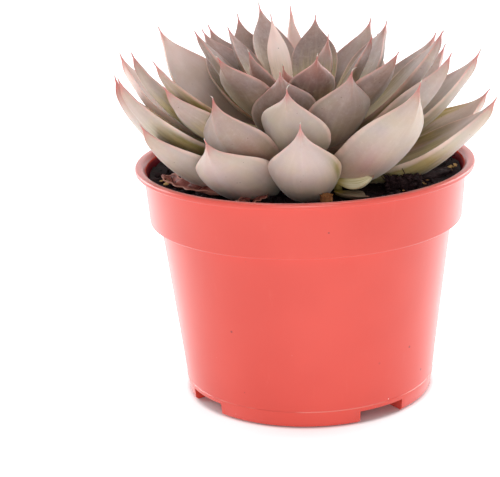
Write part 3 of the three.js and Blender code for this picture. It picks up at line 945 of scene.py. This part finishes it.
def make_offset_stem():
    low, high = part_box("offset_stem")
    middle = (low + high) / 2
    places = [
        Vector((middle.x + 0.4 * MM, high.y - 1 * MM, low.z)),
        middle,
        Vector((middle.x - 0.3 * MM, low.y + 1 * MM, high.z)),
    ]
    bm = bmesh.new()
    sweep(bm, places, [1.3 * MM, 1.5 * MM, 1.1 * MM], 20)
    piece_from(bm, "offset_stalk", OFFSET_SKIN, ["offset_stem"])


def make_stub():
    """The ribbed stub of an old flower stalk, frayed at its broken top."""
    low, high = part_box("stalk_stub")
    middle = (low + high) / 2
    foot = low.z - 1 * MM
    heights = [foot + (high.z - foot) * i / (STUB_ROWS - 1) for i in range(STUB_ROWS)]
    places = [Vector((middle.x, middle.y, height)) for height in heights]
    radii = [STUB_RADIUS * (1 - 0.1 * math.sin(i * 2.1)) for i in range(STUB_ROWS)]
    bm = bmesh.new()
    sweep(bm, places, radii, 24)
    for vert in bm.verts:
        out = vert.co - middle
        out.z = 0
        turn = math.atan2(out.y, out.x)
        vert.co += out * (0.12 * math.sin(turn * 7) + 0.1 * noise.noise(vert.co * 900))
        if vert.co.z > high.z - 0.8 * MM:
            vert.co.z += 0.9 * MM * noise.noise(Vector((turn * 1.7, 3, 1))) - 0.2 * MM
    piece_from(bm, "dry_stalk_stub", DRY_STALK, ["stalk_stub"])


make_stem()
make_offset_stem()
make_stub()


# ---------------------------------------------------------------- potting mix

soil_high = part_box("soil")[1]
SOIL_HEIGHT = soil_high.z
SOIL_RADIUS = soil_high.x
SOIL_STEPS = 180
SOIL_RINGS = 52
SOIL_FOOT = 6.5 * MM
CRUMB_RING = (12 * MM, 53 * MM)
LITTER_RING = (20 * MM, 52 * MM)
CRUMB_COUNT = 900
FIBRE_COUNT = 130
STRAND_PLACES = 6
# centre, spread and number of the pale flakes in each spot, in millimetres
FLAKE_SPOTS = [((49, -6), 4, 16), ((38, -24), 6, 12), ((-46, -16), 4, 6)]
LOOSE_FLAKES = 14


def soil_height(x, y):
    """The uneven top of the potting mix: clods, and a rise towards the pot's wall."""
    place = Vector((x, y, 0))
    radius = place.length
    lumps = rough(place, 130, 0.9) + rough(place, 330, 0.55) + rough(place, 800, 0.3)
    rim = 2.0 * smooth(radius, 40 * MM, 54 * MM)
    return SOIL_HEIGHT + (0.3 + rim + lumps) * MM


def make_soil():
    profile = [
        (0, SOIL_FOOT), (BASE_RADIUS - 2.2 * MM, SOIL_FOOT),
        (BODY_TOP_RADIUS - 2 * MM, COLLAR_FOOT_HEIGHT),
        (COLLAR_FOOT_RADIUS - 2 * MM, COLLAR_FOOT_HEIGHT + 3.4 * MM),
        (SOIL_RADIUS, SOIL_HEIGHT - 1 * MM),
    ]
    profile += [(SOIL_RADIUS * (1 - i / SOIL_RINGS), SOIL_HEIGHT) for i in range(SOIL_RINGS + 1)]
    bm = spun(profile, SOIL_STEPS)
    for vert in bm.verts:
        if vert.co.z > SOIL_HEIGHT - 0.5 * MM:
            vert.co.z = soil_height(vert.co.x, vert.co.y)
    piece_from(bm, "potting_mix_bed", POTTING_MIX, ["soil"], math.radians(60))


def crumb(bm, place, size, draw, flatten=1.0):
    """One knobbly grain of the mix."""
    made = bmesh.ops.create_icosphere(bm, subdivisions=2, radius=1.0)["verts"]
    seed = Vector((draw.uniform(0, 50), draw.uniform(0, 50), 0))
    for vert in made:
        knobs = 0.45 * noise.noise(vert.co * 1.3 + seed) + 0.25 * noise.noise(vert.co * 3 + seed)
        vert.co *= 1 + knobs
    length, depth = size * draw.uniform(0.7, 1.4), size * flatten * draw.uniform(0.6, 1.0)
    shape = Matrix.Diagonal((length, size, depth))
    heading = Matrix.Rotation(draw.uniform(0, math.tau), 3, "Z")
    turn = heading @ Matrix.Rotation(draw.uniform(-0.6, 0.6), 3, "X")
    for vert in made:
        vert.co = place + turn @ (shape @ vert.co)


def ring_place(draw, inner, outer):
    """A random place on the mix between two radii."""
    radius = math.sqrt(draw.uniform(inner * inner, outer * outer))
    turn = draw.uniform(0, math.tau)
    x, y = radius * math.cos(turn), radius * math.sin(turn)
    return Vector((x, y, soil_height(x, y)))


def make_crumbs():
    draw = random.Random(5)
    bm = bmesh.new()
    for _ in range(CRUMB_COUNT):
        place = ring_place(draw, *CRUMB_RING)
        size = draw.choice([0.35, 0.5, 0.5, 0.7, 0.9, 1.3]) * MM
        crumb(bm, place + UP * size * 0.2, size, draw)
    piece_from(bm, "potting_mix_crumbs", POTTING_MIX, (), math.radians(50))


def drawn_place(draw, low, high):
    """A random place in the box between two corners."""
    return Vector([draw.uniform(a, b) for a, b in zip(low, high)])


def strand(bm, place, length, thickness, draw, lift=0.25):
    """A short bent fibre, thinner towards its ends."""
    heading = drawn_place(draw, (-1, -1, 0), (1, 1, lift)).normalized()
    bend = drawn_place(draw, (-1, -1, -0.6), (1, 1, 0.4)) * 0.2
    places, radii = [], []
    for i in range(STRAND_PLACES):
        places.append(place.copy())
        radii.append(thickness * (0.5 + 0.5 * math.sin(math.pi * (i + 0.6) / (STRAND_PLACES + 0.2))))
        place = place + heading * (length / (STRAND_PLACES - 1))
        heading = (heading + bend).normalized()
    sweep(bm, places, radii, 6)


def make_fibres():
    draw = random.Random(8)
    bm = bmesh.new()
    for _ in range(FIBRE_COUNT):
        place = ring_place(draw, *LITTER_RING) + UP * 0.4 * MM
        strand(bm, place, draw.uniform(2.5, 7) * MM, draw.uniform(0.08, 0.2) * MM, draw)
    piece_from(bm, "peat_fibres", BARK)


def make_flakes():
    """Pale flakes and crumbs that lie on the mix, thickest at the right."""
    draw = random.Random(21)
    bm = bmesh.new()
    for (middle_x, middle_y), spread, count in FLAKE_SPOTS:
        for _ in range(count):
            x = middle_x * MM + draw.uniform(-spread, spread) * MM
            y = middle_y * MM + draw.uniform(-spread, spread) * MM
            place = Vector((x, y, soil_height(x, y) + 0.9 * MM))
            crumb(bm, place, draw.uniform(0.35, 0.9) * MM, draw, 0.35)
    for _ in range(LOOSE_FLAKES):
        place = ring_place(draw, *LITTER_RING) + UP * 0.6 * MM
        crumb(bm, place, draw.uniform(0.3, 0.6) * MM, draw, 0.5)
    piece_from(bm, "pale_flakes", FLAKES, (), math.radians(50))


make_soil()
make_crumbs()
make_fibres()
make_flakes()


# ---------------------------------------------------------------- litter

CHIP_SIDES = 40
CHIP_ROWS = 48
CLUMP_CRUMBS = 150
CLUMP_STRANDS = 50
SHEET_COLUMNS = 26
SHEET_ROWS = 60
CRUMPLE = 1.4 * MM


def rough_body(node, name, material, grain):
    """A chip or clump: the CAD blade's body made rough."""
    blade = Blade(node, UP)
    bm = bmesh.new()
    bmesh.ops.create_uvsphere(bm, u_segments=CHIP_SIDES, v_segments=CHIP_ROWS, radius=1.0)
    for vert in bm.verts:
        row, across, face = ball_place(vert, CHIP_ROWS)
        along = row / CHIP_ROWS
        centre, side_way, face_way, wide, thick, _ = blade.at(along)
        lift = thick * face * (0.7 if face > 0 else 1.3)
        place = centre + side_way * across * wide + face_way * lift
        out = side_way * across + face_way * face
        ridges = noise.noise(Vector((across * 6, face * 6, along * 1.5))) * grain
        place += out * (ridges + rough(place, 500, grain * 0.6))
        vert.co = place
    piece_from(bm, name, material, [node], math.radians(60))


def make_clump():
    """A fibrous clump of crumbs and short strands round a rough core."""
    rough_body("bark_1", "fibrous_clump", BARK, 0.8 * MM)
    low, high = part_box("bark_1")
    draw = random.Random(31)
    bm = bmesh.new()
    top = high + UP * MM
    for _ in range(CLUMP_CRUMBS):
        crumb(bm, drawn_place(draw, low, top), draw.uniform(0.35, 1.0) * MM, draw)
    for _ in range(CLUMP_STRANDS):
        place = drawn_place(draw, low + UP * MM, top)
        strand(bm, place, draw.uniform(2, 5) * MM, draw.uniform(0.07, 0.16) * MM, draw, 0.8)
    piece_from(bm, "clump_crumbs", BARK, (), math.radians(50))


def curled_leaf(node, name, roll, wall, taper):
    """A withered leaf: a thin sheet rolled about the CAD blade's line and crumpled."""
    blade = Blade(node, UP)
    bm = bmesh.new()
    layers = {key: bm.verts.layers.float.new(key) for key in ("along", "across")}
    bmesh.ops.create_grid(bm, x_segments=SHEET_COLUMNS, y_segments=SHEET_ROWS, size=1.0)
    for vert in bm.verts:
        across, along = vert.co.x, (vert.co.y + 1) / 2
        vert[layers["along"]] = along
        vert[layers["across"]] = across
        centre, side_way, face_way, wide, thick, _ = blade.at(0.02 + 0.96 * along)
        uneven = 1 + 0.25 * noise.noise(Vector((along * 6, 2, 0)))
        width = wide * (1 - taper * smooth(along, 0.4, 1.0)) * uneven
        turn = across * roll / 2
        reach = max(math.sin(min(roll / 2, math.pi / 2)), 0.5)
        place = centre + side_way * math.sin(turn) * width / reach
        place += face_way * ((1 - math.cos(turn)) * width * 0.75 - thick * 0.8)
        fold = noise.noise(Vector((across * 1.5, along * 9, 5))) * CRUMPLE
        sway = noise.noise(Vector((along * 12, across, 9))) * CRUMPLE
        place += face_way * fold + side_way * sway * 0.6
        vert.co = place
    sheet = piece_from(bm, name, WITHERED_SKIN, [node], math.radians(75))
    skin = sheet.modifiers.new("thickness", "SOLIDIFY")
    skin.thickness = wall
    skin.offset = 0


make_clump()
rough_body("bark_2", "bark_stick", BARK, 0.5 * MM)
curled_leaf("dried_leaf_1", "withered_leaf_1", 2.9, 0.5 * MM, 0.3)
curled_leaf("dried_leaf_2", "withered_leaf_2", 2.6, 0.35 * MM, 0.6)


# ---------------------------------------------------------------- studio

FLOOR_SIZE = 12.0
FLOOR_GLOW = 0.5
SURROUND_LIGHT = 0.42
SURROUND_SEEN = 1.15
LIGHT_AIM = Vector((0, 0, 70 * MM))


def make_floor():
    """White paper that glows a little, except under the pot's foot."""
    bm = bmesh.new()
    bmesh.ops.create_grid(bm, x_segments=1, y_segments=1, size=FLOOR_SIZE)
    bmesh.ops.translate(bm, verts=bm.verts, vec=(0, 0, -0.2 * MM))
    floor = placed("floor", mesh_from(bm, "floor"))
    material, tree, shader = finish_called("floor_paper", Roughness=0.9, Specular_IOR_Level=0.1)
    shader.inputs["Base Color"].default_value = (0.93, 0.925, 0.945, 1)
    shader.inputs["Emission Color"].default_value = (0.98, 1, 1, 1)
    inputs = {0: own_place(tree), 1: (1, 1, 0)}
    flat = add(tree, "ShaderNodeVectorMath", inputs, operation="MULTIPLY").outputs[0]
    away = add(tree, "ShaderNodeVectorMath", {0: flat}, operation="LENGTH").outputs["Value"]
    glow = times(tree, rise(tree, away, BASE_RADIUS - 1 * MM, BASE_RADIUS + 1.8 * MM), FLOOR_GLOW)
    tree.links.new(glow, shader.inputs["Emission Strength"])
    floor.data.materials.append(material)


def soft_light(name, place, size, power):
    data = bpy.data.lights.new(name, "AREA")
    data.shape = "DISK"
    data.size = size
    data.energy = power
    lamp = placed(name, data)
    lamp.location = place
    lamp.rotation_euler = (LIGHT_AIM - lamp.location).to_track_quat("-Z", "Y").to_euler()
    lamp.visible_camera = False


def make_studio():
    """The surround lights the plant softly, but it is plain white where it is seen or mirrored."""
    world = bpy.data.worlds.new("studio_white")
    world.use_nodes = True
    tree = world.node_tree
    tree.nodes["Background"].inputs["Color"].default_value = (1, 1, 1, 1)
    scattered = add(tree, "ShaderNodeLightPath").outputs["Is Diffuse Ray"]
    strength = compute(tree, "MULTIPLY_ADD", scattered, SURROUND_LIGHT - SURROUND_SEEN, SURROUND_SEEN)
    tree.links.new(strength, tree.nodes["Background"].inputs["Strength"])
    bpy.context.scene.world = world
    soft_light("top_softbox", (0.05, 0.1, 1.0), 0.7, 3.5)
    soft_light("left_softbox", (-1.0, 0.58, 0.3), 1.0, 11.0)
    soft_light("right_softbox", (1.0, 0.58, 0.3), 1.0, 11.0)
    soft_light("front_softbox", (0, -1.3, 0.06), 0.8, 9.0)


make_floor()
make_studio()
bpy.context.scene.view_settings.view_transform = "Standard"
